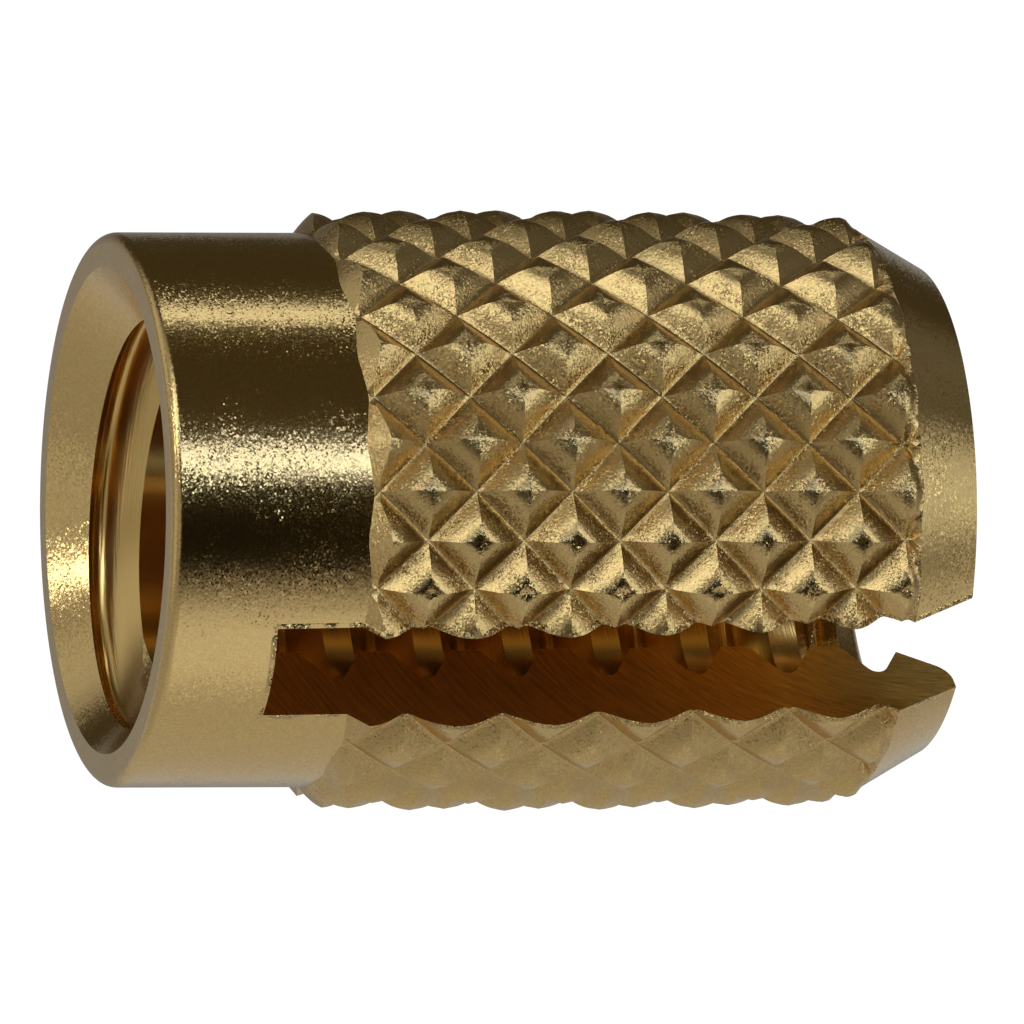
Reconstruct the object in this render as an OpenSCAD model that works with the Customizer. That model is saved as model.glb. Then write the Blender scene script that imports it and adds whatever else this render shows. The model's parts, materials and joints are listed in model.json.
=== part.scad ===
// Press-in expansion insert for a #10-24 screw: slotted, diamond-knurled brass, 3/8 in long.
// It stands on its nose, with the threaded bore along +Z and the mouth on top.

/* [Body] */
// Overall length, from the nose to the mouth
body_l = 9.48; // [8.9:0.02:10]
// Diameter of the plain collar, the pilot for a 1/4 in hole
collar_d = 6.3; // [6.2:0.01:6.32]
// Length of the plain collar, from the mouth to the knurl
collar_l = 2.33; // [1.8:0.01:2.6]
// Rounding of the collar's outer edge at the mouth
rim_round = 0.13; // [0.05:0.01:0.2]

/* [Bore] */
// Diameter of the bore: the thread's minor diameter, the crests of its helix
bore_d = 3.96; // [3.7:0.01:4]
// Diameter of the countersink at the mouth
countersink_d = 5.54; // [5.2:0.01:5.6]
// Full angle of the countersink
countersink_angle = 90; // [82:1:100]

/* [Nose] */
// Diameter of the nose at its end
nose_d = 5.6; // [5.5:0.01:5.8]
// Slope of the nose cone, from the axis
nose_slope = 29.5; // [26:0.5:34]
// Diameter of the nose cone where the knurl starts
cone_d = 6.46; // [6.36:0.01:6.56]
// Length of the lead chamfer inside the nose
lead_l = 0.75; // [0.6:0.01:0.8]
// Slope of the lead chamfer, from the axis
lead_slope = 34; // [30:1:36]
// Rounding between the lead chamfer and the nose's end face
lead_round = 0.35; // [0.2:0.01:0.4]

/* [Knurl] */
// Diameter over the knurl's crests, at its fullest
knurl_d = 6.81; // [6.78:0.01:7]
// Number of starts in each of the two helices
knurl_starts = 18; // [16:1:20]
// Distance between crests along the axis
knurl_pitch = 1.12; // [1:0.01:1.25]
// Depth of the grooves
knurl_depth = 0.2; // [0.16:0.01:0.22]
// Width of the flat left on each crest, as a share of the diamond
crest_share = 0.42; // [0.1:0.01:0.6]
// Radius of the arc along the axis that crowns the knurl
crown_r = 114; // [90:1:400]
// Height of the bevel where the knurl starts at the collar, and as steep a one at the nose
knurl_bevel = 0.16; // [0.08:0.01:0.2]
// Distance from the collar to the first groove crossing
knurl_lead = 0.06; // [0:0.01:1]
// Turn of the diamonds about the axis
knurl_turn = 8.85; // [0:0.05:20]

/* [Slot] */
// Width of the sawn slot
slot_w = 1.21; // [0.9:0.01:1.3]
// Distance from the mouth to the slot's blind end, on the collar
slot_end = 1.3; // [1.1:0.01:1.6]
// Diameter of the slitting saw, which leaves its arc at the blind end
saw_d = 16.8; // [14:0.1:25]
// Distance of the saw's centre in front of the axis, so that the slot ends lower in the back wall
saw_side = 0.6; // [0:0.05:1]
// Lean of the slot against the axis
slot_lean = 1; // [0:0.1:2]

/* [Hidden] */
brass = "#ad8b4c";
over = 1;        // how far a cutter runs past what it cuts
round_steps = 6; // straight steps in a rounded edge's section
turned_fn = 120;
saw_fn = 240;

bore_r = bore_d / 2;
collar_r = collar_d / 2;
nose_r = nose_d / 2;
cone_r = cone_d / 2;
cone_l = (cone_r - nose_r) / tan(nose_slope);
countersink_r = countersink_d / 2;
countersink_l = (countersink_r - bore_r) / tan(countersink_angle / 2);
knurl_top = body_l - collar_l;
middle_z = body_l / 2;

// The crown is fullest at the middle of the insert's length
function crown_drop(z) = crown_r - sqrt(pow(crown_r, 2) - pow(z - middle_z, 2));
function crest_r(z) = knurl_d / 2 - crown_drop(z);
function groove_r(z) = crest_r(z) - knurl_depth;

// Groove crossings lie in rows along the axis, and every second row is half a pitch higher
rows = 2 * knurl_starts;
row_angle = 360 / rows;
cells = ceil(knurl_top / knurl_pitch) + 1;
row_base = knurl_top - knurl_lead - (cells - 1) * knurl_pitch;
function row_z(i, j) = row_base + (i + (j % 2) / 2) * knurl_pitch;
function at(r, turn, z) = [r * cos(turn), r * sin(turn), z];

function crossing(i, j) = at(groove_r(row_z(i, j)), knurl_turn + j * row_angle, row_z(i, j));
function crest_point(i, j, along, around) =
    let (z = row_z(i + 0.5 + along / 2, j))
    at(crest_r(z), knurl_turn + (j + around) * row_angle, z);
function crest_corners(i, j) = [
    crest_point(i, j, crest_share, 0),
    crest_point(i, j, 0, crest_share),
    crest_point(i, j, -crest_share, 0),
    crest_point(i, j, 0, -crest_share)
];

// Indices of the points: all the crossings, then four corners for each crest
crossing_count = rows * (cells + 1);
cap_start = crossing_count + 4 * rows * cells;
function crossing_id(i, j) = ((j + rows) % rows) * (cells + 1) + i;
function crest_id(i, j, corner) = crossing_count + 4 * (j * cells + i) + corner;

// The four crossings round a diamond, clockwise from its top, as the crest's corners are
function diamond_ids(i, j) =
    let (side = i + j % 2)
    [crossing_id(i + 1, j), crossing_id(side, j + 1), crossing_id(i, j), crossing_id(side, j - 1)];
// One sloping side of a diamond, split from the crossing that shares the diamond's row
function side_faces(a, b, c, d, split_at_a) =
    split_at_a ? [[a, b, c], [a, c, d]] : [[a, b, d], [b, c, d]];
function diamond_faces(i, j) =
    let (
        outer = diamond_ids(i, j),
        crest = [for (corner = [0:3]) crest_id(i, j, corner)]
    )
    [
        [crest[0], crest[1], crest[2]],
        [crest[0], crest[2], crest[3]],
        for (k = [0:3])
            let (next = (k + 1) % 4)
            each side_faces(outer[k], outer[next], crest[next], crest[k], k % 2 == 0)
    ];

// A bar with the whole knurl rolled on it, longer than the knurled length at both ends
module knurled_bar() {
    points = [
        for (j = [0:rows - 1]) for (i = [0:cells]) crossing(i, j),
        for (j = [0:rows - 1]) for (i = [0:cells - 1]) each crest_corners(i, j),
        [0, 0, row_base - over],
        [0, 0, row_z(cells, 1) + over]
    ];
    faces = [
        for (j = [0:rows - 1]) for (i = [0:cells - 1]) each diamond_faces(i, j),
        for (j = [0:rows - 1]) [crossing_id(0, j), crossing_id(0, j + 1), cap_start],
        for (j = [0:rows - 1]) [crossing_id(cells, j + 1), crossing_id(cells, j), cap_start + 1]
    ];
    polyhedron(points, faces, convexity = 10);
}

// What the bevels at both ends leave of the bar
module knurl_limits() {
    limit_r = knurl_d / 2 + over;
    bevel_r = groove_r(knurl_top);
    bevel_fall = knurl_bevel / knurl_depth;
    rotate_extrude($fn = turned_fn)
        polygon([
            [0, cone_l],
            [cone_r, cone_l],
            [limit_r, cone_l + (limit_r - cone_r) * bevel_fall],
            [limit_r, knurl_top - (limit_r - bevel_r) * bevel_fall],
            [bevel_r, knurl_top],
            [0, knurl_top]
        ]);
}

// Plain nose cone, with a core that reaches up inside the knurl
module nose() {
    core_r = nose_r + (cone_r - nose_r) / 2;
    rotate_extrude($fn = turned_fn)
        polygon([
            [0, 0],
            [nose_r, 0],
            [cone_r, cone_l],
            [core_r, cone_l],
            [core_r, cone_l + knurl_pitch],
            [0, cone_l + knurl_pitch]
        ]);
}

// Plain collar, with a core that reaches down inside the knurl
module collar() {
    core_l = collar_l + knurl_pitch;
    rotate_extrude($fn = turned_fn)
        polygon([
            [0, body_l - core_l],
            [collar_r, body_l - core_l],
            for (s = [0:round_steps])
                let (turn = 90 * s / round_steps)
                [
                    collar_r - rim_round * (1 - cos(turn)),
                    body_l - rim_round * (1 - sin(turn))
                ],
            [0, body_l]
        ]);
}

// Bore, with the countersink at the mouth and the rounded lead chamfer inside the nose
module bore() {
    lead_end_r = bore_r + lead_l * tan(lead_slope);
    round_turn = 90 - lead_slope;
    round_r = lead_end_r + lead_round * tan(round_turn / 2);
    mouth_l = countersink_l + over;
    rotate_extrude($fn = turned_fn)
        polygon([
            [0, -over],
            [round_r, -over],
            for (s = [0:round_steps])
                let (turn = round_turn * s / round_steps)
                [round_r - lead_round * sin(turn), lead_round * (1 - cos(turn))],
            [bore_r, lead_l],
            [bore_r, body_l - countersink_l],
            [bore_r + mouth_l * tan(countersink_angle / 2), body_l + over],
            [0, body_l + over]
        ]);
}

// One pass of a slitting saw from the nose, through both walls, with its centre in front of the axis
module saw_cut() {
    saw_z = body_l - slot_end - sqrt(pow(saw_d / 2, 2) - pow(collar_r - saw_side, 2));
    translate([0, 0, middle_z])
        rotate([0, -slot_lean, 0])
            translate([0, -saw_side, saw_z - middle_z])
                rotate([0, 90, 0])
                    cylinder(d = saw_d, h = slot_w, center = true, $fn = saw_fn);
}

module insert() {
    color(brass)
        difference() {
            union() {
                intersection() {
                    knurled_bar();
                    knurl_limits();
                }
                collar();
                nose();
            }
            bore();
            saw_cut();
        }
}

insert();
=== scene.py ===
"""Slotted brass press-in insert with a rolled diamond knurl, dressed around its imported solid."""
import json
import math

import bpy
import numpy as np
from mathutils import Matrix, Vector


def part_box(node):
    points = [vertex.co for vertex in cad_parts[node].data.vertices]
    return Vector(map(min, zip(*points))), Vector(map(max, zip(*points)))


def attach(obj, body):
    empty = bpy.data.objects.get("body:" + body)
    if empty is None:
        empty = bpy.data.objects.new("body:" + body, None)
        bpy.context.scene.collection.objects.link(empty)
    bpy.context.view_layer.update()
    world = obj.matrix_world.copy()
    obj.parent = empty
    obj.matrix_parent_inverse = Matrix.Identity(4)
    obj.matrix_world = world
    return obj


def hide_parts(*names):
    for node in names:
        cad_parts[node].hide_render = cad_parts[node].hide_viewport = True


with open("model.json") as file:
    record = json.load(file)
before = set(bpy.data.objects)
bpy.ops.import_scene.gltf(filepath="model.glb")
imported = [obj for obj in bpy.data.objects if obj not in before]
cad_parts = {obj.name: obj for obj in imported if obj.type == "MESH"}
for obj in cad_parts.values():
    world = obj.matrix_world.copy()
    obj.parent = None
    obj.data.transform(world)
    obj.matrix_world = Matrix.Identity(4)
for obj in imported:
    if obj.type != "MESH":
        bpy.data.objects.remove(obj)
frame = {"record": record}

bl_info = {
    "name": "Knurled brass insert",
    "version": (1, 0, 0),
    "blender": (4, 5, 0),
    "location": "3D View > Sidebar > Insert",
    "description": "A slotted, diamond-knurled brass insert and the studio it stands in",
    "category": "Object",
}

MM = 0.001
NODE = "insert"
PIECE = "threaded_insert"

MOUNTS = {mount["name"]: mount for mount in frame["record"]["mounts"]}
BOX_LOW, BOX_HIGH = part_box(NODE)

# How finely the forms are cut
TURNED_STEPS = 180
ROUND_STEPS = 8
THREAD_STEPS = 120
SAW_STEPS = 256
FLOOR_STEPS = 96

# How the forms run into each other, in mm
OVER = 1.0  # how far a cutter runs past what it cuts
BAR_LOW = 0.4  # height at which the knurled bar starts, inside the nose cone
BAR_PAST = 0.2  # how far the bar runs past the knurl, into the collar
CORE_INSET = 0.15  # how much slimmer the collar's core is, inside the knurl
CORE_REACH = 1.0  # how far down that core reaches
SEAT = 0.03  # how far the collar itself reaches into the knurl
TAP_CLEAR = 0.08  # how far the tap's grooves start inside the bore's wall
SPARE_TURNS = 2  # turns of the tap past each end, so that its ends are closed outside the part

# The kinds of surface, named for how they are made
TURNED, ROLLED, TAPPED, SAWN = range(4)

# How a face is told by its place and direction: distances in mm, directions as cosines
ON_WALL = 0.002  # nearest to a flat wall
ON_ROUND = 0.01  # nearest to a turned surface
FACING = 0.99  # along a direction
EDGE_ON = 0.1  # across a direction
ON_SLOPE = 0.02  # furthest from a cone's direction
THREAD_WITHIN = 2.7  # radius that holds the whole thread
LEAD_WITHIN = 3.0  # radius that holds the lead chamfer
KNURL_BEYOND = 3.1  # radius that the whole knurl lies beyond
SHARP_EDGE = math.radians(24)  # bends past this are shaded as edges

FLOOR_R = 300  # mm
FLOOR_GLOW = 1.05
SENSOR_WIDTH = 36  # of the camera, in mm
FAR_END = 10  # of the camera's view, in m

# Where the mesh has points between two grooves, as distances from the groove in mm
GROOVE_POINTS = (0.0, 0.02, 0.055, 0.12, 0.19, 0.235, 0.265, 0.295, 0.325, 0.36)

SEED = 7


def linear(code):
    """The linear colour of an sRGB hex code."""
    levels = [int(code[i:i + 2], 16) / 255 for i in (1, 3, 5)]
    return [c / 12.92 if c <= 0.04045 else ((c + 0.055) / 1.055) ** 2.4 for c in levels]


def size_of(name, text, default, **more):
    """A length property, in metres."""
    return bpy.props.FloatProperty(name=name, description=text, default=default, unit="LENGTH",
                                   precision=5, min=0.0, **more)


def angle_of(name, text, degrees):
    """An angle property, given in degrees."""
    return bpy.props.FloatProperty(name=name, description=text, default=math.radians(degrees),
                                   subtype="ANGLE", unit="ROTATION")


def colour_of(name, text, code):
    """A colour property, given as an sRGB hex code."""
    return bpy.props.FloatVectorProperty(name=name, description=text, default=linear(code),
                                         subtype="COLOR", min=0.0, max=1.0)


class InsertSizes(bpy.types.PropertyGroup):
    """Sizes of the insert"""
    length: size_of("Length", "From the nose to the mouth", BOX_HIGH.z - BOX_LOW.z)
    collar: size_of("Collar", "Diameter of the plain collar", 2 * MOUNTS["collar"]["dims"]["r_mm"] * MM)
    collar_length: size_of("Collar length", "From the mouth to the knurl", 2.33 * MM)
    rim_round: size_of("Rim rounding", "Rounding of the collar's outer edge", 0.13 * MM)
    bore: size_of("Bore", "The thread's minor diameter", 2 * MOUNTS["threaded_bore"]["dims"]["r_mm"] * MM)
    countersink: size_of("Countersink", "Diameter of the countersink at the mouth", 5.54 * MM)
    nose: size_of("Nose", "Diameter at the nose's end", 5.6 * MM)
    nose_slope: angle_of("Nose slope", "Slope of the nose cone, from the axis", 29.5)
    cone: size_of("Cone", "Diameter of the nose cone where the knurl starts", 6.46 * MM)
    lead_length: size_of("Lead length", "Length of the lead chamfer in the nose", 0.75 * MM)
    lead_slope: angle_of("Lead slope", "Slope of the lead chamfer, from the axis", 34)
    lead_round: size_of("Lead rounding", "Between the lead chamfer and the end face", 0.35 * MM)


class KnurlSizes(bpy.types.PropertyGroup):
    """Sizes of the diamond knurl"""
    across: size_of("Across crests", "Diameter over the crests, at the fullest", 6.81 * MM)
    starts: bpy.props.IntProperty(name="Starts", description="Grooves in each helix", default=18, min=3)
    pitch: size_of("Pitch", "Distance between crests along the axis", 1.12 * MM)
    depth: size_of("Depth", "From a crest to the bottom of a groove", 0.23 * MM)
    root: size_of("Groove rounding", "Rounding at the bottom of the grooves", 0.02 * MM)
    bend: size_of("Flat flank", "How far up a flank is straight before it bends over", 0.12 * MM)
    crown: size_of("Crown radius", "Radius of the arc along the axis", 114 * MM)
    bevel: size_of("Bevel", "Height of the bevel where the knurl starts", 0.16 * MM)
    lead: size_of("Lead", "From the collar to the first groove crossing", 0.06 * MM)
    runout: size_of("Run-out", "Where the grooves run out, above the nose cone", 0.13 * MM)
    bulge: size_of("Bulge", "How far the metal is pushed out at the ends, between grooves", 0.07 * MM)
    turn: angle_of("Turn", "Turn of the diamonds about the axis", 8.85)
    widest: angle_of("Widest flats", "Side on which the crests have their widest flats", 286)


class ThreadSizes(bpy.types.PropertyGroup):
    """Sizes of the tapped thread"""
    pitch: size_of("Pitch", "Rise of the thread in one turn", 25.4 / 24 * MM)
    crest: size_of("Crest", "Width of the flat between two grooves", 0.33 * MM)
    root: size_of("Root rounding", "Rounding at the bottom of the groove", 0.12 * MM)
    start: size_of("Start", "Height of a groove's middle on the +X side", 6.43 * MM)


class SlotSizes(bpy.types.PropertyGroup):
    """Sizes of the sawn slot"""
    width: size_of("Width", "Width of the slot", 1.21 * MM)
    end: size_of("End", "From the mouth to the blind end, on the collar", 1.3 * MM)
    saw: size_of("Saw", "Diameter of the slitting saw", 16.8 * MM)
    side: size_of("Saw to the side", "How far the saw's centre stands before the axis", 0.6 * MM)
    lean: angle_of("Lean", "Lean of the slot against the axis", 1)


class BrassLook(bpy.types.PropertyGroup):
    """Colours of the brass"""
    turned: colour_of("Turned", "Free-cutting brass, fresh from the lathe", "#d8b373")
    rolled: colour_of("Rolled", "Brass pressed by the knurling wheels", "#d2ae70")
    tapped: colour_of("Tapped", "Brass cut by the tap, inside the bore", "#dcb56e")
    sawn: colour_of("Sawn", "Brass cut by the slitting saw", "#e0b05e")


class StudioLook(bpy.types.PropertyGroup):
    """View and light of the studio"""
    azimuth: angle_of("Azimuth", "Where the camera stands round the insert, from +X", 305.1)
    elevation: angle_of("Elevation", "Height of the camera over the floor, as an angle", 15.2)
    distance: size_of("Distance", "From the camera to the insert's axis", 284.75 * MM)
    view_width: size_of("View width", "Width of the view at the insert", 11.663 * MM)
    aim: size_of("Aim", "Height of the point that the camera looks at", 4.7 * MM)
    aim_side: size_of("Aim to the side", "How far that point lies beside the axis", 0.023 * MM)
    card: colour_of("White card", "The card beside the insert", "#cbd2db")
    ceiling: colour_of("Ceiling", "The ceiling over the studio", "#aeaeae")
    room: colour_of("Room", "The dim room on the other side", "#443f2f")
    lamp: colour_of("Lamp", "The lamps round the insert", "#dfeeff")
    window: colour_of("Window", "The daylight beside the camera", "#bfd6ff")


def ease(share):
    """A smooth step from 0 to 1."""
    return share * share * (3 - 2 * share)


def values_of(items, name, width=1, kind=float):
    """One property of all the items of a mesh, as an array with one row for each."""
    values = np.empty(len(items) * width, kind)
    items.foreach_get(name, values)
    return values.reshape(-1, width) if width > 1 else values


def solid(name, points, faces):
    """An object with that mesh, linked to the scene."""
    mesh = bpy.data.meshes.new(name)
    mesh.from_pydata([tuple(p) for p in points], [], [tuple(f) for f in faces])
    made = bpy.data.objects.new(name, mesh)
    bpy.context.scene.collection.objects.link(made)
    return made


def lathe(name, outline, steps=TURNED_STEPS):
    """A solid turned from an outline of (radius, height) pairs that starts and ends on the axis."""
    turns = [math.tau * s / steps for s in range(steps)]
    points = []
    rings = []
    for r, z in outline:
        first = len(points)
        if r == 0:
            points.append((0.0, 0.0, z))
            rings.append([first] * steps)
        else:
            points += [(r * math.cos(t), r * math.sin(t), z) for t in turns]
            rings.append(list(range(first, first + steps)))
    faces = []
    for low, high in zip(rings, rings[1:]):
        for s in range(steps):
            corners = [low[s], low[(s + 1) % steps], high[(s + 1) % steps], high[s]]
            faces.append(list(dict.fromkeys(corners)))
    return solid(name, points, faces)


def combine(target, tool, operation):
    """Adds, cuts or keeps what target and tool share, and takes the tool away."""
    step = target.modifiers.new(operation, "BOOLEAN")
    step.operation = operation
    step.solver = "MANIFOLD"
    step.object = tool
    graph = bpy.context.evaluated_depsgraph_get()
    made = bpy.data.meshes.new_from_object(target.evaluated_get(graph))
    target.modifiers.clear()
    target.data = made
    bpy.data.objects.remove(tool)


class Knurl:
    """The rolled surface: two families of helical grooves that leave diamonds between them."""

    # How a flank bends over near its crest
    SHOULDER = 0.18  # height in mm over which it bends
    END_SLOPE = 0.25  # slope that it ends with
    # How the crests differ in height, as shares of the depth
    ROW_SHARE = 0.03  # in waves from row to row
    ROW_BEAT = 1.9  # radians of such a wave in one row
    ROW_START = 0.6
    LUCK_SHARE = 0.02  # by luck
    OFF_TRUE = 2.0  # on the side where the bar ran high, for each unit of 1 - cosine
    OFF_TRUE_MOST = 0.13
    # Lumps on the crests and the flanks: their height in mm, and how many lie across a diamond
    CREST_LUMP = 0.005
    CREST_LUMPS = 16
    FLANK_LUMP = 0.003
    FLANK_LUMPS = 9
    FLANK_SHIFT = (100, 50)  # keeps them unlike the crests' lumps
    # The dent in a crest and the ring of metal round it: heights in mm, places as shares of a diamond
    RING = 0.008
    RING_AT = 0.11
    RING_WIDTH = 0.035
    DENT = 0.014
    DENT_SPREAD = 0.004  # a square of a share
    # How the surfaces run into each other, in mm of height
    BLEND = 0.004  # a flank into a crest
    MARK = 0.01  # the mark on the crests, which fades over this
    FOOT_LIFT = 0.004  # the grooves' bottoms over the nose cone, where they have run out
    # The metal pushed out at both ends
    PUSH_REACH = 0.3  # how far from an end it moves, in mm
    PUSH_SKIN = 0.1  # how far under the cone's widest radius it moves, in mm
    PUSH_TOUCH = 0.001  # how far past an end still counts as the end, in mm
    HELD_BACK = 0.3  # how much the grooves draw back at the nose, as a share of the bulge
    # Sizes of the tables of luck and of noise
    LUCK_ROWS = 64
    NOISE_CELLS = 512

    def __init__(self, sizes, length, collar_length, cone_r, cone_length):
        self.top = length - collar_length
        self.cone_r = cone_r
        self.foot = cone_length
        self.middle = length / 2
        self.crest = sizes.across / MM / 2
        self.crown = sizes.crown / MM
        self.depth = sizes.depth / MM
        self.root = sizes.root / MM
        self.bend = sizes.bend / MM
        self.runout = sizes.runout / MM
        self.bulge = sizes.bulge / MM
        self.widest = sizes.widest
        self.starts = sizes.starts
        self.pitch = sizes.pitch / MM
        self.turn = sizes.turn
        self.zero = self.top - sizes.lead / MM
        self.row = math.tau / (2 * self.starts)  # turn from one column of crossings to the next
        around = self.row * self.crest
        self.gap = 1 / math.hypot(1 / (2 * around), 1 / self.pitch)  # between grooves of one family
        rng = np.random.default_rng(SEED)
        self.crest_luck = rng.uniform(-1, 1, (self.starts, self.LUCK_ROWS))
        self.dent_luck = rng.uniform(0, 1, (self.starts, self.LUCK_ROWS))
        self.cells = rng.uniform(-1, 1, (self.NOISE_CELLS, self.NOISE_CELLS))

    def crest_r(self, z):
        """Radius of the full crests at a height, on the crown's arc."""
        return self.crest - (self.crown - np.sqrt(self.crown ** 2 - (z - self.middle) ** 2))

    def lattice(self, turn, z):
        """Place in the two families, where a whole number is the bottom of a groove."""
        a = (turn - self.turn) / (2 * self.row)
        b = (z - self.zero) / self.pitch
        return a + b, a - b

    def flank(self, d):
        """Height at a distance from the groove: a 45 degree flank that bends over near its crest."""
        rise = np.sqrt(d ** 2 + self.root ** 2) - self.root
        past = np.clip(rise - self.bend, 0, None)
        bent = np.minimum(past, self.SHOULDER)
        lost = (1 - self.END_SLOPE) / 2 * bent ** 2 / self.SHOULDER
        return np.minimum(rise, self.bend) + bent - lost + self.END_SLOPE * (past - bent)

    def noise(self, x, y):
        """Smooth noise from the table, in units of its cells."""
        n = self.NOISE_CELLS
        x0 = np.floor(x).astype(int)
        y0 = np.floor(y).astype(int)
        fx = ease(x - x0)
        fy = ease(y - y0)

        def along_x(y_cell):
            return self.cells[x0 % n, y_cell % n] * (1 - fx) + self.cells[(x0 + 1) % n, y_cell % n] * fx

        return along_x(y0) * (1 - fy) + along_x(y0 + 1) * fy

    def surface(self, p, q):
        """Height over the bottom of the grooves, and how much of it is untouched crest, 0 to 1."""
        u = p - np.floor(p) - 0.5
        v = q - np.floor(q) - 0.5
        i = np.floor(p).astype(int) % self.starts
        k = (np.floor(p) - np.floor(q)).astype(int) % self.LUCK_ROWS
        wall = np.minimum(self.flank((0.5 - abs(u)) * self.gap), self.flank((0.5 - abs(v)) * self.gap))
        wall = wall + self.FLANK_LUMP * self.noise(p * self.FLANK_LUMPS + self.FLANK_SHIFT[0],
                                                   q * self.FLANK_LUMPS + self.FLANK_SHIFT[1])
        row = np.sin(self.ROW_BEAT * np.floor(p + q) + self.ROW_START)
        # the bar ran a little out of true, and the flats are widest on its low side
        off_side = 1 - np.cos(self.turn + self.row * (np.floor(p) + np.floor(q) + 1) - self.widest)
        dome = self.depth * (1 + self.ROW_SHARE * row + self.LUCK_SHARE * self.crest_luck[i, k]
                             + np.minimum(self.OFF_TRUE * off_side, self.OFF_TRUE_MOST))
        dome = dome + self.CREST_LUMP * self.noise(p * self.CREST_LUMPS, q * self.CREST_LUMPS)
        square = u ** 2 + v ** 2
        ring = self.RING * np.exp(-((np.sqrt(square) - self.RING_AT) / self.RING_WIDTH) ** 2)
        dent = self.DENT * np.exp(-square / self.DENT_SPREAD)
        dome = dome + self.dent_luck[i, k] * (ring - dent)
        height = (wall + dome) / 2 - np.sqrt((wall - dome) ** 2 + self.BLEND ** 2) / 2
        crest = np.clip((wall - dome) / self.MARK + 0.5, 0, 1)
        return height, crest

    def bar(self, low, high):
        """A bar with the knurl from one height to another, and plain ends."""
        half = [d / self.gap for d in GROOVE_POINTS]
        steps = np.array(half + [0.5] + [1 - d for d in half[:0:-1]])
        n = len(steps)
        around = self.starts * n
        k_low = math.floor(2 * (low - self.zero) / self.pitch * n)
        k_high = math.ceil(2 * (high - self.zero) / self.pitch * n)
        levels = np.arange(k_low, k_high + 1)
        ip, k = np.meshgrid(np.arange(around), levels)
        iq = ip - k
        p = ip // n + steps[ip % n]
        q = iq // n + steps[iq % n]
        turn = self.turn + self.row * (p + q)
        z = self.zero + self.pitch * (p - q) / 2
        height, _ = self.surface(p, q)
        r = self.crest_r(z) - self.depth + height
        # the wheels' bevelled edges let the grooves run out before the nose cone
        foot_r = self.cone_r + self.FOOT_LIFT
        r = foot_r + (r - foot_r) * ease(np.clip((z - self.foot) / self.runout, 0, 1))
        points = np.stack([r * np.cos(turn), r * np.sin(turn), z], -1).reshape(-1, 3)

        def at(ip, iq):
            return (ip - iq - k_low) * around + ip % around

        # each cell is split along the diagonal that runs out from the middle of its diamond
        ip, k = np.meshgrid(np.arange(around), levels[1:-1])
        ip = ip.ravel()
        iq = ip - k.ravel()
        a = at(ip, iq)
        b = at(ip + 1, iq)
        c = at(ip + 1, iq + 1)
        d = at(ip, iq + 1)
        side_p = (ip % n + 0.5) / n - 0.5
        side_q = (iq % n + 0.5) / n - 0.5
        split = side_p * side_q > 0
        faces = np.concatenate([
            np.stack([a, c, b], 1)[split],
            np.stack([a, d, c], 1)[split],
            np.stack([a, d, b], 1)[~split],
            np.stack([b, d, c], 1)[~split],
        ])
        # plain ends: each edge of the knurl runs straight out and closes on the axis
        top = []
        bottom = []
        last = len(levels) - 1
        for s in range(around):
            top += [last * around + s, (last - 1) * around + s]
            bottom += [s, around + (s + 1) % around]
        points = list(map(tuple, points))
        extra = []
        for ring, end, flip in ((top, high + 2 * OVER, False), (bottom, low - 2 * OVER, True)):
            outer = []
            for v in ring:
                x, y, _ = points[v]
                scale = self.crest / math.hypot(x, y)
                outer.append(len(points))
                points.append((x * scale, y * scale, end))
            hub = len(points)
            points.append((0.0, 0.0, end))
            for s in range(len(ring)):
                t = (s + 1) % len(ring)
                corners = [[ring[s], ring[t], outer[t], outer[s]], [outer[s], outer[t], hub]]
                extra += [c[::-1] if flip else c for c in corners]
        return solid("knurled_bar", points, faces.tolist() + extra)

    def push_ends(self, points, nose_slope):
        """Moves both ends of the knurl outward between the grooves, where the wheels left the metal."""
        turn = np.arctan2(points[:, 1], points[:, 0])
        r = np.hypot(points[:, 0], points[:, 1])
        z = points[:, 2]

        def between_grooves(level):
            p, q = self.lattice(turn, level)
            return 2 * np.minimum(0.5 - abs(p - np.floor(p) - 0.5), 0.5 - abs(q - np.floor(q) - 0.5))

        def near_end(inward):
            """How near to an end a place in the knurl's skin is, from its distance inside it."""
            share = np.clip(1 - inward / self.PUSH_REACH, 0, 1)
            return share * (inward > -self.PUSH_TOUCH) * (r > self.cone_r - self.PUSH_SKIN)

        up = self.bulge * near_end(self.top - z) ** 2 * between_grooves(self.zero)
        down = self.bulge * near_end(z - self.foot) ** 2 * (between_grooves(self.foot) - self.HELD_BACK)
        out = 1 - down * math.tan(nose_slope) / np.maximum(r, 1)
        return np.stack([points[:, 0] * out, points[:, 1] * out, z + up - down], 1)


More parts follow.
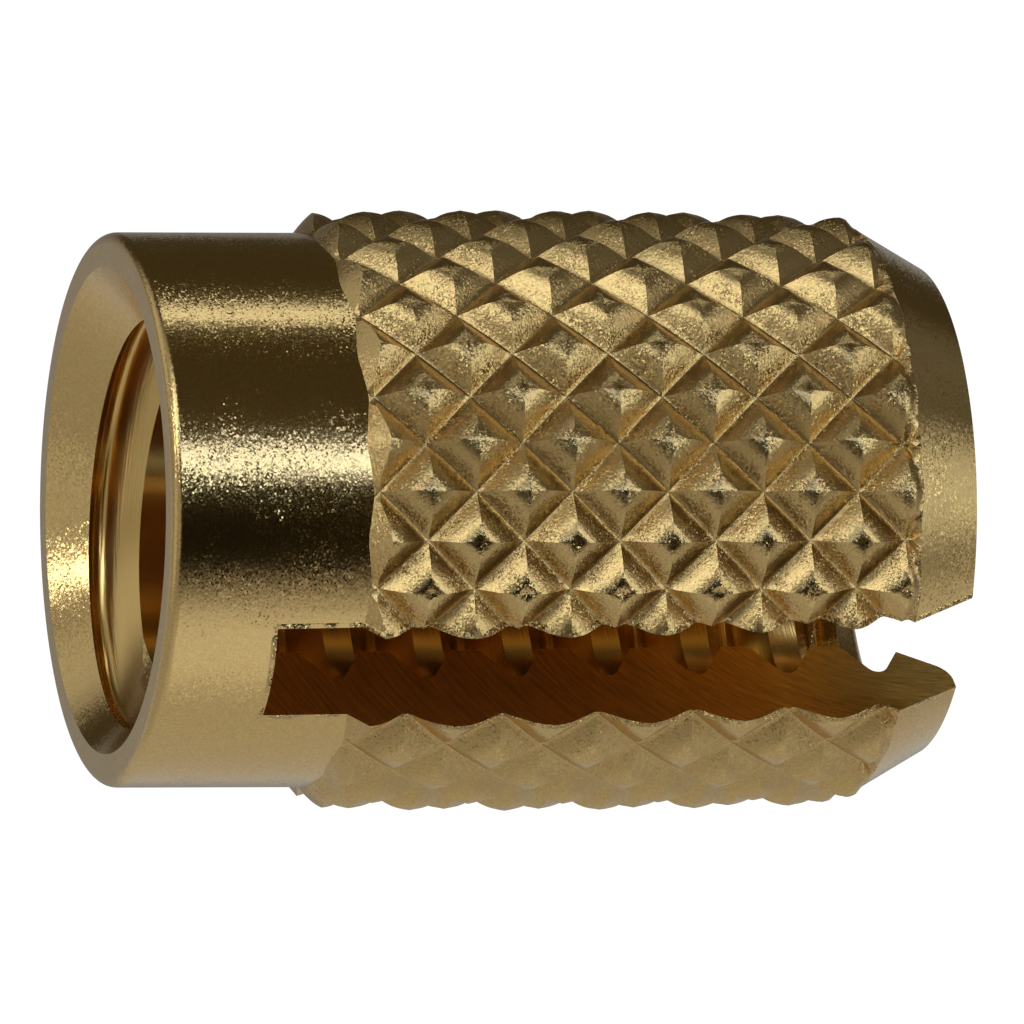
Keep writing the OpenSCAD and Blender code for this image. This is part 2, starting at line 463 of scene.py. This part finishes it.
def tap(sizes, bore_r, length):
    """The cutter that leaves the thread: one right-hand helix of a rounded 60 degree groove."""
    pitch = sizes.pitch / MM
    crest = sizes.crest / MM
    root = sizes.root / MM
    start = sizes.start / MM
    steep = math.sqrt(3)
    apex = bore_r + (pitch - crest) / 2 * steep
    inner = bore_r - TAP_CLEAR
    foot = (apex - inner) / steep
    touch = root * steep / 2
    middle = apex - 2 * root

    def radius(s):
        s = abs(s)
        if s >= foot:
            return inner
        if s <= touch:
            return middle + math.sqrt(root ** 2 - s ** 2)
        return apex - s * steep

    half = [touch / 3, touch * 2 / 3, touch, (touch + foot) / 2, foot]
    shape = [-pitch / 2] + [-s for s in half[::-1]] + [0] + half
    n = len(shape)
    first = math.floor((-OVER - start) / pitch) - SPARE_TURNS
    turns = math.ceil((length + 2 * OVER) / pitch) + 2 * SPARE_TURNS
    rows = n * turns
    points = []
    for j in range(THREAD_STEPS):
        share = j / THREAD_STEPS
        for k in range(rows + 1):
            s = shape[k % n]
            r = radius(s)
            z = start + pitch * (first + k // n + share) + s
            points.append((r * math.cos(math.tau * share), r * math.sin(math.tau * share), z))

    def at(j, k):
        # after a full turn, the same point lies one turn of the thread higher
        return k + n if j == THREAD_STEPS else j * (rows + 1) + k

    faces = []
    for j in range(THREAD_STEPS):
        shift = n if j == THREAD_STEPS - 1 else 0
        for k in range(rows - shift):
            faces.append([at(j, k), at(j + 1, k), at(j + 1, k + 1), at(j, k + 1)])
    last = THREAD_STEPS - 1
    bottom = [at(j, 0) for j in range(THREAD_STEPS)] + list(range(n, 0, -1))
    top = [at(j, rows) for j in range(THREAD_STEPS)]
    top += [at(last, k) for k in range(rows - 1, rows - n - 1, -1)]
    lows = min(points[v][2] for v in bottom) - OVER
    highs = max(points[v][2] for v in top) + OVER
    for ring, end, flip in ((bottom, lows, True), (top, highs, False)):
        hub = len(points)
        points.append((0.0, 0.0, end))
        for a, b in zip(ring, ring[1:] + ring[:1]):
            faces.append([b, a, hub] if flip else [a, b, hub])
    return solid("tap", points, faces)


def slitting_saw(sizes, length, collar_r):
    """The disc that cuts the slot, with its axis along X, and where it stands."""
    r = sizes.saw / MM / 2
    half = sizes.width / MM / 2
    side = sizes.side / MM
    centre = length - sizes.end / MM - math.sqrt(r ** 2 - (collar_r - side) ** 2)
    disc = lathe("saw", [(0, -half), (r, -half), (r, half), (0, half)], SAW_STEPS)
    lift = Matrix.Translation((0, 0, length / 2))
    lean = Matrix.Rotation(-sizes.lean, 4, "Y")
    place = lift @ lean @ Matrix.Translation((0, -side, centre - length / 2))
    disc.data.transform(place @ Matrix.Rotation(math.pi / 2, 4, "Y"))
    return disc, place


class INSERT_OT_body(bpy.types.Operator):
    """Turn, knurl, drill, tap and saw the insert"""
    bl_idname = "insert.body"
    bl_label = "Insert"

    def execute(self, context):
        scene = context.scene
        sizes = scene.insert_sizes
        length = sizes.length / MM
        collar_r = sizes.collar / MM / 2
        collar_l = sizes.collar_length / MM
        bore_r = sizes.bore / MM / 2
        nose_r = sizes.nose / MM / 2
        cone_r = sizes.cone / MM / 2
        cone_l = (cone_r - nose_r) / math.tan(sizes.nose_slope)
        knurl = Knurl(scene.insert_knurl, length, collar_l, cone_r, cone_l)
        top = knurl.top
        groove = float(knurl.crest_r(top)) - knurl.depth
        wide = knurl.crest + OVER
        fall = scene.insert_knurl.bevel / MM / knurl.depth

        body = knurl.bar(BAR_LOW, top + BAR_PAST)
        limits = lathe("limits", [
            (0, 0),
            (nose_r, 0),
            (cone_r, cone_l),
            (wide, cone_l + (wide - cone_r) * fall),
            (wide, top - (wide - groove) * fall),
            (groove, top),
            (0, top),
        ])
        combine(body, limits, "INTERSECT")

        rim = sizes.rim_round / MM
        core_r = collar_r - CORE_INSET
        bend = [math.pi / 2 * s / ROUND_STEPS for s in range(ROUND_STEPS + 1)]
        collar = lathe("collar", [
            (0, top - CORE_REACH),
            (core_r, top - CORE_REACH),
            (core_r, top - SEAT),
            (collar_r, top - SEAT),
            *[(collar_r - rim * (1 - math.cos(t)), length - rim * (1 - math.sin(t))) for t in bend],
            (0, length),
        ])
        combine(body, collar, "UNION")
        places = knurl.push_ends(values_of(body.data.vertices, "co", 3), sizes.nose_slope)
        body.data.vertices.foreach_set("co", places.ravel())

        lead = sizes.lead_length / MM
        lead_round = sizes.lead_round / MM
        bend_turn = math.pi / 2 - sizes.lead_slope
        round_r = bore_r + lead * math.tan(sizes.lead_slope) + lead_round * math.tan(bend_turn / 2)
        bend = [bend_turn * s / ROUND_STEPS for s in range(ROUND_STEPS + 1)]
        sink = sizes.countersink / MM / 2 - bore_r
        drill = lathe("drill", [
            (0, -OVER),
            (round_r, -OVER),
            *[(round_r - lead_round * math.sin(t), lead_round * (1 - math.cos(t))) for t in bend],
            (bore_r, lead),
            (bore_r, length - sink),
            (bore_r + sink + OVER, length + OVER),
            (0, length + OVER),
        ])
        combine(body, drill, "DIFFERENCE")
        combine(body, tap(scene.insert_thread, bore_r, length), "DIFFERENCE")
        saw, place = slitting_saw(scene.insert_slot, length, collar_r)
        combine(body, saw, "DIFFERENCE")

        body.name = PIECE
        body.data.name = PIECE
        finish_surfaces(body.data, knurl, place, scene)
        body.data.transform(Matrix.Scale(MM, 4))
        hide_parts(NODE)
        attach(body, "root")
        return {"FINISHED"}


def surface_kinds(mesh, knurl, place, scene):
    """The kind of surface of each face."""
    sizes = scene.insert_sizes
    length = sizes.length / MM
    sink = (sizes.countersink - sizes.bore) / MM / 2
    centre = values_of(mesh.polygons, "center", 3)
    normal = values_of(mesh.polygons, "normal", 3)
    r = np.hypot(centre[:, 0], centre[:, 1])
    z = centre[:, 2]
    outward = (centre[:, 0] * normal[:, 0] + centre[:, 1] * normal[:, 1]) / np.maximum(r, 1e-6)

    half = scene.insert_slot.width / MM / 2
    back = np.array(place.inverted())
    in_saw = centre @ back[:3, :3].T + back[:3, 3]
    beside = abs(in_saw[:, 0])
    reach = np.hypot(in_saw[:, 1], in_saw[:, 2])
    across = abs(normal @ np.array(place)[:3, 0])
    wall = (abs(beside - half) < ON_WALL) & (across > FACING)
    blind = (abs(reach - scene.insert_slot.saw / MM / 2) < ON_ROUND) & (beside < half)
    sawn = wall | (blind & (across < EDGE_ON))

    on_sink = abs(r - sizes.bore / MM / 2 - sink + length - z) < ON_ROUND
    on_sink &= z > length - sink - ON_ROUND
    on_lead = (z < sizes.lead_length / MM + ON_ROUND) & (r < LEAD_WITHIN)
    tapped = (r < THREAD_WITHIN) & (z > ON_ROUND) & (z < length - ON_ROUND) & ~on_sink & ~on_lead

    slope = sizes.nose_slope
    on_cone = abs(normal[:, 2] + math.sin(slope)) < ON_SLOPE
    on_cone &= abs(outward - math.cos(slope)) < ON_SLOPE
    on_cone &= abs(r - (sizes.nose / MM / 2 + z * math.tan(slope))) < ON_ROUND
    on_collar = (abs(normal[:, 2]) < ON_ROUND) & (abs(r - sizes.collar / MM / 2) < ON_ROUND)
    on_collar &= outward > FACING
    rolled = (z < knurl.top + knurl.bulge) & (r > KNURL_BEYOND) & ~on_cone & ~on_collar

    kind = np.full(len(mesh.polygons), TURNED)
    kind[rolled] = ROLLED
    kind[tapped] = TAPPED
    kind[sawn] = SAWN
    return kind


def finish_surfaces(mesh, knurl, place, scene):
    """Gives each face the material of the tool that made it, and marks the crests."""
    kind = surface_kinds(mesh, knurl, place, scene)
    mesh.materials.clear()
    made = {
        TURNED: turned_brass(scene, place),
        ROLLED: rolled_brass(scene, place),
        TAPPED: tapped_brass(scene),
        SAWN: sawn_brass(scene, place),
    }
    for which in sorted(made):
        mesh.materials.append(made[which])
    mesh.polygons.foreach_set("material_index", kind)
    points = values_of(mesh.vertices, "co", 3)
    p, q = knurl.lattice(np.arctan2(points[:, 1], points[:, 0]), points[:, 2])
    _, crest = knurl.surface(p, q)
    mark = mesh.attributes.new("crest", "FLOAT", "POINT")
    mark.data.foreach_set("value", crest)
    mesh.polygons.foreach_set("use_smooth", np.ones(len(kind), bool))
    mesh.set_sharp_from_angle(angle=SHARP_EDGE)
    part_surfaces(mesh, kind)
    mesh.update()


def part_surfaces(mesh, kind):
    """Makes each edge between two kinds of surface a sharp one."""
    edge = values_of(mesh.loops, "edge_index", kind=int)
    of_loop = np.repeat(kind, values_of(mesh.polygons, "loop_total", kind=int))
    least = np.full(len(mesh.edges), kind.max() + 1)
    most = np.zeros(len(mesh.edges), int)
    np.minimum.at(least, edge, of_loop)
    np.maximum.at(most, edge, of_loop)
    sharp = values_of(mesh.edges, "use_edge_sharp", kind=bool)
    mesh.edges.foreach_set("use_edge_sharp", sharp | (least != most))


def node(tree, kind, links=None, **settings):
    """Adds a node with its settings. links maps an input to a value or to another node's output."""
    made = tree.nodes.new(kind)
    for name, value in settings.items():
        setattr(made, name, value)
    for name, value in (links or {}).items():
        if isinstance(value, bpy.types.NodeSocket):
            tree.links.new(value, made.inputs[name])
        else:
            made.inputs[name].default_value = value
    return made


def new_material(name, colour, roughness):
    """A metal with that colour and roughness on the shader's own sockets."""
    made = bpy.data.materials.new(name)
    made.use_nodes = True
    made.diffuse_color = (*colour, 1.0)
    tree = made.node_tree
    tree.nodes.clear()
    shader = node(tree, "ShaderNodeBsdfPrincipled", {
        "Base Color": (*colour, 1.0), "Metallic": 1.0, "Roughness": roughness})
    node(tree, "ShaderNodeOutputMaterial", {"Surface": shader.outputs["BSDF"]})
    return made, tree, shader


def lumps(tree, where, width, height, detail, under=None):
    """The normal with small lumps on it, so wide and so high in mm, over the normal under them."""
    wave = node(tree, "ShaderNodeTexNoise", {"Vector": where, "Scale": 1 / (width * MM), "Detail": detail})
    links = {"Height": wave.outputs["Fac"], "Distance": height * MM, "Strength": 1.0}
    if under is not None:
        links["Normal"] = under
    return node(tree, "ShaderNodeBump", links).outputs["Normal"]


def patches(tree, where, width, low, high, start, end, detail=2.0):
    """A value from start to end in patches so wide in mm, as their noise goes from low to high."""
    patch = node(tree, "ShaderNodeTexNoise", {"Vector": where, "Scale": 1 / (width * MM), "Detail": detail})
    return node(tree, "ShaderNodeMapRange", {
        "Value": patch.outputs["Fac"], "From Min": low, "From Max": high, "To Min": start, "To Max": end,
    }).outputs["Result"]


def grains(tree, shader, normal, size, tilt, tint):
    """Tilts and tints the surface grain by grain: most grains lie almost flat, a few stand up and glint.

    size is the width of a grain in mm, tilt how far the few stand up, and tint the change of hue."""
    place = node(tree, "ShaderNodeTexCoord").outputs["Object"]
    cell = node(tree, "ShaderNodeTexVoronoi", {"Vector": place, "Scale": 1 / (size * MM)})
    # A lean from -1 to 1 each way, cubed so that only the few keep a strong one
    lean = node(tree, "ShaderNodeVectorMath", {0: cell.outputs["Color"], 1: (2, 2, 2), 2: (-1, -1, -1)},
                operation="MULTIPLY_ADD").outputs["Vector"]
    square = node(tree, "ShaderNodeVectorMath", {0: lean, 1: lean}, operation="MULTIPLY")
    cube = node(tree, "ShaderNodeVectorMath", {0: square.outputs["Vector"], 1: lean},
                operation="MULTIPLY").outputs["Vector"]
    push = node(tree, "ShaderNodeVectorMath", {0: cube, "Scale": tilt}, operation="SCALE")
    sum_of = node(tree, "ShaderNodeVectorMath", {0: normal, 1: push.outputs["Vector"]}, operation="ADD")
    tilted = node(tree, "ShaderNodeVectorMath", {0: sum_of.outputs["Vector"]}, operation="NORMALIZE")
    tree.links.new(tilted.outputs["Vector"], shader.inputs["Normal"])
    part = node(tree, "ShaderNodeSeparateXYZ", {"Vector": cell.outputs["Color"]})
    hue = node(tree, "ShaderNodeMapRange", {
        "Value": part.outputs["X"], "To Min": 0.5 - tint, "To Max": 0.5 + tint})
    value = node(tree, "ShaderNodeMapRange", {"Value": part.outputs["Y"], "To Min": 0.9, "To Max": 1.06})
    tinted = node(tree, "ShaderNodeHueSaturation", {
        "Color": shader.inputs["Base Color"].default_value[:], "Hue": hue.outputs["Result"],
        "Value": value.outputs["Result"]})
    tree.links.new(tinted.outputs["Color"], shader.inputs["Base Color"])


def turned_brass(scene, place):
    """Free-cutting brass from the lathe."""
    # Brass turned with a sharp tool gives the eye a clear, warm shine, broken by torn specks that glint
    made, tree, shader = new_material("brass, turned", scene.insert_brass.turned, 0.17)
    where = node(tree, "ShaderNodeTexCoord").outputs["Object"]
    # Torn specks 0.02 to 0.04 mm across, as coarse as they need to be to show
    specks = lumps(tree, where, 0.04, 0.0015, 2.0)
    # Feed marks of the lathe tool, 0.03 mm apart along the axis and drawn out round it
    along = node(tree, "ShaderNodeVectorMath", {0: where, 1: (0.02, 0.02, 1)}, operation="MULTIPLY")
    feed = lumps(tree, along.outputs["Vector"], 0.03, 0.0008, 1.0, under=specks)
    # Grains 0.02 mm across stand up in patches of 0.5 mm
    tilt = patches(tree, where, 0.5, 0.35, 0.65, 0.035, 0.13)
    normal, tilt = burred(tree, scene, place, where, feed, tilt)
    grains(tree, shader, normal, 0.02, tilt, 0.012)
    return made


def rolled_brass(scene, place):
    """Brass pressed by the knurling wheels."""
    # Brass pressed into the wheels' teeth gives the eye frosted flanks under bright, untouched crests
    made, tree, shader = new_material("brass, knurled", scene.insert_brass.rolled, 0.3)
    where = node(tree, "ShaderNodeTexCoord").outputs["Object"]
    crest = node(tree, "ShaderNodeAttribute", attribute_name="crest").outputs["Fac"]
    rough = node(tree, "ShaderNodeMapRange", {"Value": crest, "To Min": 0.3, "To Max": 0.17})
    tree.links.new(rough.outputs["Result"], shader.inputs["Roughness"])
    # The print of the wheels' ground teeth, 0.035 mm across
    frost = lumps(tree, where, 0.035, 0.005, 3.0)
    # Grains 0.018 mm across, squeezed by the wheels, stand up in patches of 0.3 mm
    tilt = patches(tree, where, 0.3, 0.4, 0.6, 0.07, 0.28)
    normal, tilt = burred(tree, scene, place, where, frost, tilt)
    grains(tree, shader, normal, 0.018, tilt, 0.02)
    return made


def in_saw_frame(tree, place):
    """The surface's place in the saw's frame, in metres: along the saw's axis, and on its disc."""
    where = node(tree, "ShaderNodeTexCoord").outputs["Object"]
    back = place.inverted()
    return node(tree, "ShaderNodeMapping", {
        "Vector": where,
        "Location": tuple(back.to_translation() * MM),
        "Rotation": tuple(back.to_euler()),
    }, vector_type="POINT").outputs["Vector"]


def from_axis(tree, first, second):
    """The distance from an axis, from the two coordinates across it."""
    flat = node(tree, "ShaderNodeCombineXYZ", {"X": first, "Y": second}).outputs["Vector"]
    return node(tree, "ShaderNodeVectorMath", {0: flat}, operation="LENGTH").outputs["Value"]


def burred(tree, scene, place, where, normal, tilt):
    """Adds the small burrs along the slot's edges, to the normal and to the grains' tilt."""
    edge = slot_edge(tree, scene, place)
    # Burrs 0.05 mm across and as high, in patches
    here = patches(tree, where, 0.25, 0.42, 0.62, 0.0, 1.0, detail=1.0)
    share = node(tree, "ShaderNodeMath", {0: here, 1: edge}, operation="MULTIPLY").outputs["Value"]
    lump = node(tree, "ShaderNodeTexNoise", {"Vector": where, "Scale": 1 / (0.05 * MM), "Detail": 1.0})
    height = node(tree, "ShaderNodeMath", {0: lump.outputs["Fac"], 1: share}, operation="MULTIPLY")
    bump = node(tree, "ShaderNodeBump", {
        "Height": height.outputs["Value"], "Distance": 0.05 * MM, "Strength": 1.0, "Normal": normal})
    torn = node(tree, "ShaderNodeMath", {0: share, 1: 2.0, 2: tilt}, operation="MULTIPLY_ADD")
    return bump.outputs["Normal"], torn.outputs["Value"]


def slot_edge(tree, scene, place):
    """How much a place belongs to the slot's burred edge: wholly within 0.02 mm, not at all past 0.06 mm."""
    part = node(tree, "ShaderNodeSeparateXYZ", {"Vector": in_saw_frame(tree, place)})
    across = node(tree, "ShaderNodeMath", {0: part.outputs["X"]}, operation="ABSOLUTE")
    beside = node(tree, "ShaderNodeMath", {
        0: across.outputs["Value"], 1: scene.insert_slot.width / 2}, operation="SUBTRACT")
    beyond = node(tree, "ShaderNodeMath", {
        0: from_axis(tree, part.outputs["Y"], part.outputs["Z"]), 1: scene.insert_slot.saw / 2},
        operation="SUBTRACT")
    off = node(tree, "ShaderNodeMath", {
        0: beside.outputs["Value"], 1: beyond.outputs["Value"]}, operation="MAXIMUM")
    return node(tree, "ShaderNodeMapRange", {
        "Value": off.outputs["Value"], "From Min": 0.06 * MM, "From Max": 0.02 * MM,
        "To Min": 0.0, "To Max": 1.0}).outputs["Result"]


def tapped_brass(scene):
    """Brass cut by the tap."""
    # Brass cut by a tap gives the eye smooth, deep gold flanks with faint drag lines along the thread
    made, tree, shader = new_material("brass, tapped", scene.insert_brass.tapped, 0.2)
    where = node(tree, "ShaderNodeTexCoord").outputs["Object"]
    part = node(tree, "ShaderNodeSeparateXYZ", {"Vector": where})
    # Drag lines 0.03 mm apart run round with the thread
    line = node(tree, "ShaderNodeCombineXYZ", {
        "X": from_axis(tree, part.outputs["X"], part.outputs["Y"]), "Z": part.outputs["Z"]})
    drag = lumps(tree, line.outputs["Vector"], 0.03, 0.002, 2.0)
    tree.links.new(drag, shader.inputs["Normal"])
    return made


def sawn_brass(scene, place):
    """Brass cut by the slitting saw."""
    # Brass cut by a fine-toothed saw gives the eye a dull gold with long scratches on arcs
    made, tree, shader = new_material("brass, sawn", scene.insert_brass.sawn, 0.33)
    part = node(tree, "ShaderNodeSeparateXYZ", {"Vector": in_saw_frame(tree, place)})
    turn = node(tree, "ShaderNodeMath", {0: part.outputs["Y"], 1: part.outputs["Z"]}, operation="ARCTAN2")
    # Scratches 0.035 mm apart and about 1 mm long
    slow = node(tree, "ShaderNodeMath", {0: turn.outputs["Value"], 1: 0.3 * MM}, operation="MULTIPLY")
    line = node(tree, "ShaderNodeCombineXYZ", {
        "X": from_axis(tree, part.outputs["Y"], part.outputs["Z"]),
        "Y": slow.outputs["Value"],
        "Z": part.outputs["X"],
    })
    scratch = node(tree, "ShaderNodeTexNoise", {
        "Vector": line.outputs["Vector"], "Scale": 1 / (0.035 * MM), "Detail": 3.0, "Roughness": 0.6})
    bump = node(tree, "ShaderNodeBump", {
        "Height": scratch.outputs["Fac"], "Distance": 0.003 * MM, "Strength": 1.0})
    tree.links.new(bump.outputs["Normal"], shader.inputs["Normal"])
    value = node(tree, "ShaderNodeMapRange", {
        "Value": scratch.outputs["Fac"], "From Min": 0.3, "From Max": 0.7, "To Min": 0.8, "To Max": 1.35})
    streaked = node(tree, "ShaderNodeHueSaturation", {
        "Color": shader.inputs["Base Color"].default_value[:], "Value": value.outputs["Result"]})
    tree.links.new(streaked.outputs["Color"], shader.inputs["Base Color"])
    return made


class INSERT_OT_studio(bpy.types.Operator):
    """Set up the floor, the light and the camera"""
    bl_idname = "insert.studio"
    bl_label = "Studio"

    def execute(self, context):
        scene = context.scene
        look = scene.insert_studio
        side = Vector((math.cos(look.azimuth), math.sin(look.azimuth), 0))
        across = Vector((-side.y, side.x, 0))
        up = Vector((0, 0, 1))
        back = side * math.cos(look.elevation) + up * math.sin(look.elevation)
        # The camera lies on its side, so down is to the right of its view
        right = side * math.sin(look.elevation) - up * math.cos(look.elevation)
        target = up * look.aim - across * look.aim_side
        data = bpy.data.cameras.new("camera")
        data.sensor_width = SENSOR_WIDTH
        data.lens = SENSOR_WIDTH * look.distance / look.view_width
        data.clip_start = look.distance / 10
        data.clip_end = FAR_END
        camera = bpy.data.objects.new("camera", data)
        turn = Matrix((right, across, back)).transposed().to_4x4()
        camera.matrix_world = Matrix.Translation(target + back * look.distance) @ turn
        scene.collection.objects.link(camera)
        scene.camera = camera

        floor = lathe("floor", [(0, -OVER), (FLOOR_R, -OVER), (FLOOR_R, 0), (0, 0)], FLOOR_STEPS)
        floor.data.transform(Matrix.Scale(MM, 4))
        # Opal glass lit from below gives the eye an even white with no shadow on it
        white = bpy.data.materials.new("opal light table")
        white.use_nodes = True
        tree = white.node_tree
        tree.nodes.clear()
        glow = node(tree, "ShaderNodeEmission", {"Color": (1, 1, 1, 1), "Strength": FLOOR_GLOW})
        node(tree, "ShaderNodeOutputMaterial", {"Surface": glow.outputs["Emission"]})
        floor.data.materials.append(white)
        floor.visible_glossy = False
        self.light(scene, look, side, across)
        scene.view_settings.view_transform = "Standard"
        return {"FINISHED"}

    def light(self, scene, look, side, across):
        """The world: a white card on one side, a dim room on the other, a ceiling, a window and lamps."""
        world = bpy.data.worlds.new("studio")
        scene.world = world
        world.use_nodes = True
        tree = world.node_tree
        tree.nodes.clear()
        way = node(tree, "ShaderNodeTexCoord").outputs["Generated"]
        up = Vector((0, 0, 1))

        def direction(turn, height=0.0):
            """The direction so many degrees from the camera's, towards the card, and so high up."""
            level = side * math.cos(math.radians(turn)) - across * math.sin(math.radians(turn))
            lift = math.radians(height)
            return level * math.cos(lift) + up * math.sin(lift)

        def fade(vector, low, high, start=0.0, end=1.0, shape="SMOOTHSTEP", both_sides=False):
            """Light from start to end, as the cosine of the angle to vector goes from low to high."""
            cosine = node(tree, "ShaderNodeVectorMath", {0: way, 1: tuple(vector)},
                          operation="DOT_PRODUCT").outputs["Value"]
            if both_sides:
                cosine = node(tree, "ShaderNodeMath", {0: cosine}, operation="ABSOLUTE").outputs["Value"]
            return node(tree, "ShaderNodeMapRange", {
                "Value": cosine, "From Min": low, "From Max": high, "To Min": start, "To Max": end,
            }, interpolation_type=shape).outputs["Result"]

        def dimmed(light, *masks):
            """What is left of a light behind all these masks."""
            for mask in masks:
                light = node(tree, "ShaderNodeMath", {0: light, 1: mask},
                             operation="MULTIPLY").outputs["Value"]
            return light

        def strip(turn, half_width, soft):
            """An upright strip, so many degrees wide to each side, with a soft upper and lower end."""
            outside = math.sin(math.radians(half_width + soft))
            inside = math.sin(math.radians(half_width - soft))
            return dimmed(fade(direction(turn + 90), outside, inside, both_sides=True),
                          fade(direction(turn), 0.0, 0.2),
                          fade(up, 0.35, 0.2),
                          fade(up, -0.68, -0.5))

        def disc(turn, height, radius, soft):
            """A round lamp, so many degrees in radius."""
            outside = math.cos(math.radians(radius + soft))
            inside = math.cos(math.radians(radius - soft))
            return fade(direction(turn, height), outside, inside)

        # The card starts 25 degrees beside the camera and reaches round behind the insert. It is
        # dimmer at its edges, towards its top and bottom, and straight behind.
        on_card = direction(25 + 90)
        lit = dimmed(fade(on_card, 0.0, 0.4, 0.15, 1.0, "LINEAR"), fade(on_card, -0.01, 0.01))
        card = dimmed(lit,
                      fade(up, 0.75, 0.3, start=0.75),
                      fade(up, -0.85, -0.55, start=0.7),
                      fade(direction(178), 0.97, 0.86, start=0.5))
        beside_card = node(tree, "ShaderNodeMath", {0: 1.0, 1: lit}, operation="SUBTRACT").outputs["Value"]
        # The room is darkest round the camera
        room = fade(direction(12), 0.985, 0.87, start=0.15)
        parts = [
            (look.room, 1.0, room),
            (look.card, 0.75, card),
            (look.ceiling, 0.45, dimmed(fade(up, 0.35, 0.75), beside_card)),
            (look.window, 3.95, strip(-20.5, 5, 3)),
            (look.lamp, 2.0, strip(-89, 4, 3)),
        ]
        # Round lamps: strength, degrees from the camera towards the card, degrees up, radius and softness
        lamps = (
            (2.8, -42, 44, 10, 6),  # high beside the window
            (1.8, -45, 25, 12, 8),  # under that one
            (5.5, -63, 68, 4.5, 3),  # small and bright, under the ceiling
            (1.9, -8, -53, 12, 8),  # from the table, in front
            (1.5, -30, -38, 10, 6),  # from the table, towards the window
            (0.33, 58, -15, 16, 12),  # low, before the card
            (0.3, -72, 36, 12, 10),  # high, on the room's side
            (0.2, 5, 46, 12, 10),  # over the camera
            (0.45, -125, 50, 16, 12),  # high behind, on the room's side
            (0.85, -20, -73, 11, 10),  # from the table, close to the insert
            (0.4, 84, -66, 9, 7),  # from the table, on the card's side
            (0.12, -102, -57, 12, 10),  # from the table, on the room's side
            (0.37, 0, 85, 16, 10),  # straight above
        )
        parts += [(look.lamp, strength, disc(*place)) for strength, *place in lamps]
        total = None
        for colour, strength, mask in parts:
            glow = node(tree, "ShaderNodeBackground", {
                "Color": (*colour, 1), "Strength": dimmed(mask, strength)}).outputs["Background"]
            total = glow if total is None else node(
                tree, "ShaderNodeAddShader", {0: total, 1: glow}).outputs["Shader"]
        node(tree, "ShaderNodeOutputWorld", {"Surface": total})


class INSERT_PT_panel(bpy.types.Panel):
    """Sizes, looks and steps of the insert"""
    bl_label = "Knurled insert"
    bl_idname = "INSERT_PT_panel"
    bl_space_type = "VIEW_3D"
    bl_region_type = "UI"
    bl_category = "Insert"

    def draw(self, context):
        scene = context.scene
        for group in (scene.insert_sizes, scene.insert_knurl, scene.insert_thread, scene.insert_slot,
                      scene.insert_brass, scene.insert_studio):
            box = self.layout.box()
            for name in group.bl_rna.properties.keys():
                if name not in ("rna_type", "name"):
                    box.prop(group, name)
        for operator in (INSERT_OT_body, INSERT_OT_studio):
            self.layout.operator(operator.bl_idname)


GROUPS = {
    "insert_sizes": InsertSizes,
    "insert_knurl": KnurlSizes,
    "insert_thread": ThreadSizes,
    "insert_slot": SlotSizes,
    "insert_brass": BrassLook,
    "insert_studio": StudioLook,
}
CLASSES = (*GROUPS.values(), INSERT_OT_body, INSERT_OT_studio, INSERT_PT_panel)


def register():
    for item in CLASSES:
        bpy.utils.register_class(item)
    for name, group in GROUPS.items():
        setattr(bpy.types.Scene, name, bpy.props.PointerProperty(type=group))


def unregister():
    for name in GROUPS:
        delattr(bpy.types.Scene, name)
    for item in reversed(CLASSES):
        bpy.utils.unregister_class(item)


def main():
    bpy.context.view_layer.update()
    register()
    bpy.ops.insert.body()
    bpy.ops.insert.studio()


if __name__ == "__main__":
    main()
